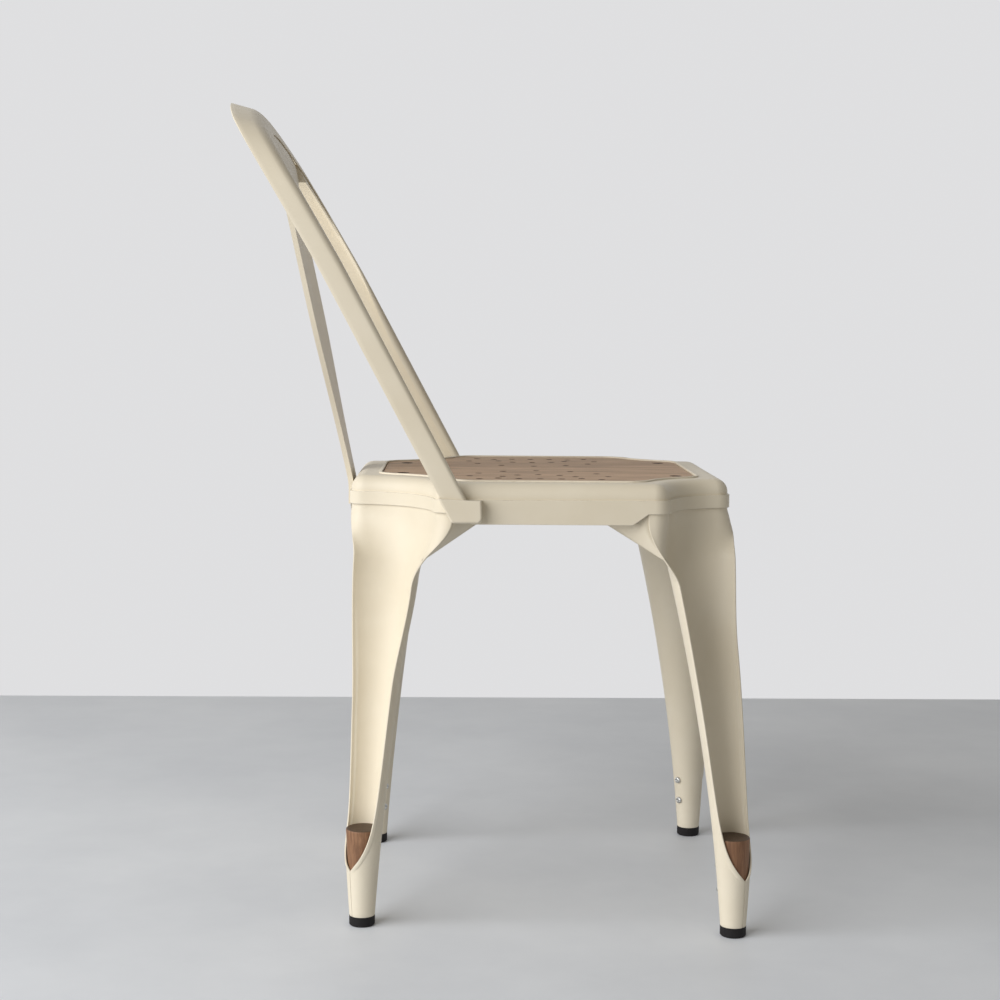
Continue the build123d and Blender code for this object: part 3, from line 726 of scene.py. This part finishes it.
# where the straight bar meets the rounded corner, and the corner meets the crown
def archMeeting(line):
    crown, rounding = hoopLook["crownDrop"], line["round"]
    crownRadius = (line["topHalf"] ** 2 + crown**2) / (2.0 * crown)
    crownCentre = Vector((0.0, line["top"] - crownRadius))
    slant = math.hypot(1.0, line["lean"])
    low, high = line["top"] - crown - 3.0 * rounding, line["top"] - crown
    for _ in range(hoopLook["meetingTries"]):
        z = 0.5 * (low + high)
        centre = Vector((barHalf(line, z) - rounding / slant, z - rounding * line["lean"] / slant))
        if (centre - crownCentre).length < crownRadius - rounding:
            low = z
        else:
            high = z
    out = centre - crownCentre
    return {
        "z": z,
        "centre": centre,
        "from": math.atan(line["lean"]),
        "to": math.atan2(out.y, out.x),
        "crownCentre": crownCentre,
        "crownRadius": crownRadius,
    }


def archSpot(line, meeting, stretch, share, lowZ):
    if stretch == "bar":
        z = lowZ + (meeting["z"] - lowZ) * share
        return Vector((barHalf(line, z), z))
    if stretch == "corner":
        swing = meeting["from"] + (meeting["to"] - meeting["from"]) * share
        return meeting["centre"] + line["round"] * Vector((math.cos(swing), math.sin(swing)))
    swing = meeting["to"] + (math.pi / 2 - meeting["to"]) * share
    return meeting["crownCentre"] + meeting["crownRadius"] * Vector((math.cos(swing), math.sin(swing)))


# the stretch that a step falls in, and how far along it
def stretchAt(step, counts):
    for stretch, count in counts.items():
        if step <= count:
            break
        step -= count
    return stretch, step / count


# across the channel: how far in from the outer wall, and how deep behind the front
def channelSpot(column, width, z):
    plated = easeBetween(z, *hoopLook["plateFade"])  # round the arch the front laps over the plate
    outer = hoopLook["outerShare"] * width
    inner = hoopLook["innerShare"] * width
    inner += (hoopLook["plateEdge"] - inner) * plated
    width += hoopLook["plateLap"] * plated
    back = hoopLook["returnDepth"] - hoopLook["endReturn"]
    back = hoopLook["endReturn"] + back * easeBetween(z, *hoopLook["returnRise"])
    back += (hoopLook["plateReturn"] - back) * plated
    stretch, share = stretchAt(column, hoopLook["columns"])
    swing = share * math.pi / 2
    if stretch == "wall":
        return 0.0, hoopLook["depth"] + (outer - hoopLook["depth"]) * share
    if stretch == "outer":
        return outer * (1.0 - math.cos(swing)), outer * (1.0 - math.sin(swing))
    if stretch == "front":
        return outer + (width - inner - outer) * share, 0.0
    if stretch == "inner":
        return width - inner + inner * math.sin(swing), inner * (1.0 - math.cos(swing))
    return width, inner + (back - inner) * share


def makeHoop():
    rows, columns = sum(hoopLook["rows"].values()), sum(hoopLook["columns"].values())
    lines = [(line, archMeeting(line)) for line in (hoopLook["outer"], hoopLook["inner"])]
    climb = math.tan(math.radians(hoopLook["wallRise"]))
    archX = hoopFront(hoopLook["outer"]["top"])
    bottom = hoopLook["bottom"]
    shape = bmesh.new()
    bmesh.ops.create_grid(shape, x_segments=columns, y_segments=2 * rows, size=0.5)
    for vert in shape.verts:
        column = round((vert.co.x + 0.5) * columns)
        row = round((vert.co.y + 0.5) * 2 * rows)
        side = -1.0 if row <= rows else 1.0
        stretch, share = stretchAt(min(row, 2 * rows - row), hoopLook["rows"])
        depth = 0.0
        for _ in range(hoopLook["depthTries"]):  # the level of the cut end depends on the depth
            lowZ = bottom + (hoopFront(bottom) - depth - archX) * climb
            outer, inner = [archSpot(line, meeting, stretch, share, lowZ) for line, meeting in lines]
            width = (outer - inner).length
            across, depth = channelSpot(column, width, outer.y)
        spot = outer.lerp(inner, across / width)
        z = spot.y
        for _ in range(hoopLook["climbTries"]):  # the walls climb to the rear
            z = spot.y - (hoopFront(z) - depth - archX) * climb
        vert.co = (hoopFront(z) - depth, side * spot.x, z)
    shape.normal_update()
    outermost = min(shape.faces, key=lambda face: face.calc_center_median().y)
    if outermost.normal.y > 0.0:
        bmesh.ops.reverse_faces(shape, faces=shape.faces)
    hoop = addPiece("pressed_back_hoop", shape, "cream_paint", "back_hoop")
    hoop.data.materials[0] = barPaint
    addWall(hoop, hoopLook["thickness"])
    roundEdges(hoop, "edges", hoopLook["edgeRound"])


makeHoop()

# sockets: pressed pockets on the skirt, open at the top, that hold the bar ends
socketLook = {
    "outline": (  # x and z from the rear top round the bottom to the front top
        (-0.0471, 0.4285),
        (-0.0348, 0.4055),
        (-0.0088, 0.4055),
        (-0.0058, 0.4090),
        (-0.0064, 0.4268),
    ),
    "innerY": 0.1929,
    "outerY": 0.2057,
    "thickness": 0.0016,
    "cornerRound": 0.0024,
    "cornerSteps": 5,
    "cornerAngle": 25.0,
    "edgeRound": 0.0005,
    "edgeSteps": 2,
    "edgeAngle": 60.0,
}


def makeSocket(name, side):
    shape = bmesh.new()
    corners = [shape.verts.new((x, side * socketLook["outerY"], z)) for x, z in socketLook["outline"]]
    shape.faces.new(corners)
    closed = [shape.edges.get(pair) for pair in zip(corners, corners[1:])]  # all but the top
    walls = bmesh.ops.extrude_edge_only(shape, edges=closed)
    innerRim = [part for part in walls["geom"] if isinstance(part, bmesh.types.BMVert)]
    inward = side * (socketLook["innerY"] - socketLook["outerY"])
    bmesh.ops.translate(shape, verts=innerRim, vec=(0.0, inward, 0.0))
    bmesh.ops.recalc_face_normals(shape, faces=shape.faces)
    shape.faces.ensure_lookup_table()
    if shape.faces[0].normal.y * side < 0.0:
        bmesh.ops.reverse_faces(shape, faces=shape.faces)
    socket = addPiece(name, shape, "cream_paint", name.replace("pressed_", "back_"))
    roundEdges(
        socket, "corners", socketLook["cornerRound"], socketLook["cornerSteps"], socketLook["cornerAngle"]
    )
    addWall(socket, socketLook["thickness"])
    roundEdges(socket, "edges", socketLook["edgeRound"], socketLook["edgeSteps"], socketLook["edgeAngle"])
    socket.modifiers.new("evenShade", "WEIGHTED_NORMAL")


for sideName, side in bothSides:
    makeSocket(f"pressed_socket_{sideName}", side)
print("back hoop and sockets")


# floor
floorLook = {
    "size": 1.92,
    "tone": (0.80, 0.828, 0.875),
    "speck": (0.72, 0.748, 0.798),
    "cloudScale": 3.0,
    "cloudStops": (0.35, 0.65),
    "roughness": 0.55,
}


def makeFloor():
    shape = bmesh.new()
    bmesh.ops.create_grid(shape, x_segments=1, y_segments=1, size=floorLook["size"] / 2)
    mesh = bpy.data.meshes.new("floor")
    shape.to_mesh(mesh)
    shape.free()
    floor = bpy.data.objects.new("floor", mesh)
    scene.collection.objects.link(floor)
    material, tree, shader = startMaterial("paleFloor")
    clouds = noise(tree, objectCoords(tree), floorLook["cloudScale"], detail=5.0, roughness=0.6)
    colour = addRamp(tree, clouds, floorLook["cloudStops"], (floorLook["speck"], floorLook["tone"]))
    tree.links.new(colour, shader.inputs["Base Color"])
    shader.inputs["Roughness"].default_value = floorLook["roughness"]
    mesh.materials.append(material)


makeFloor()

# light: a wide soft window on the left and the pale room
windowLight = {"place": (-2.2, -1.6, 1.5), "aim": (0.0, 0.0, 0.4), "size": (3.2, 2.6), "watts": 102.0}
roomLook = {"seen": (0.74, 0.74, 0.75), "glow": (0.262, 0.25, 0.225)}


def addWindow():
    lamp = bpy.data.lights.new("window", "AREA")
    lamp.shape = "RECTANGLE"
    lamp.size, lamp.size_y = windowLight["size"]
    lamp.energy = windowLight["watts"]
    light = bpy.data.objects.new("window", lamp)
    light.location = windowLight["place"]
    toward = Vector(windowLight["aim"]) - Vector(windowLight["place"])
    light.rotation_mode = "QUATERNION"
    light.rotation_quaternion = toward.to_track_quat("-Z", "Y")
    scene.collection.objects.link(light)


addWindow()


# the room looks brighter than the light that it gives
def makeRoom():
    world = bpy.data.worlds.new("room")
    scene.world = world
    world.use_nodes = True
    tree = world.node_tree
    glow = tree.nodes["Background"]
    glow.inputs["Color"].default_value = (*roomLook["glow"], 1.0)
    seen = addNode(tree, "ShaderNodeBackground", {"Color": (*roomLook["seen"], 1.0)})
    path = addNode(tree, "ShaderNodeLightPath")
    inView = path.outputs["Is Camera Ray"]
    for ray in ("Is Glossy Ray", "Is Transmission Ray"):
        inView = addNode(
            tree, "ShaderNodeMath", {0: inView, 1: path.outputs[ray]}, operation="MAXIMUM"
        ).outputs[0]
    blend = addNode(tree, "ShaderNodeMixShader", {0: inView, 1: glow.outputs[0], 2: seen.outputs[0]})
    tree.links.new(blend.outputs[0], tree.nodes["World Output"].inputs["Surface"])


makeRoom()
print("floor, light and room")

# camera as the photograph was taken
cameraSet = {
    "place": (-0.0259, -1.9047, 0.5904),
    "lens": 65.56,
    "sensor": 36.0,
    "pitch": 0.0952,
    "yaw": -0.0215,
    "roll": -0.0084,
}


def addCamera():
    yaw, pitch, roll = cameraSet["yaw"], cameraSet["pitch"], cameraSet["roll"]
    right = Vector((math.cos(yaw), math.sin(yaw), 0.0))
    forward = Vector(
        (-math.sin(yaw) * math.cos(pitch), math.cos(yaw) * math.cos(pitch), -math.sin(pitch))
    )
    above = right.cross(forward)
    tiltRight = right * math.cos(roll) - above * math.sin(roll)
    tiltUp = right * math.sin(roll) + above * math.cos(roll)
    lens = bpy.data.cameras.new("photoCamera")
    lens.lens = cameraSet["lens"]
    lens.sensor_width = cameraSet["sensor"]
    camera = bpy.data.objects.new("photoCamera", lens)
    turned = Matrix((tiltRight, tiltUp, -forward)).transposed()
    camera.matrix_world = Matrix.Translation(cameraSet["place"]) @ turned.to_4x4()
    scene.collection.objects.link(camera)
    scene.camera = camera


addCamera()
print("camera set")

bpy.context.view_layer.update()
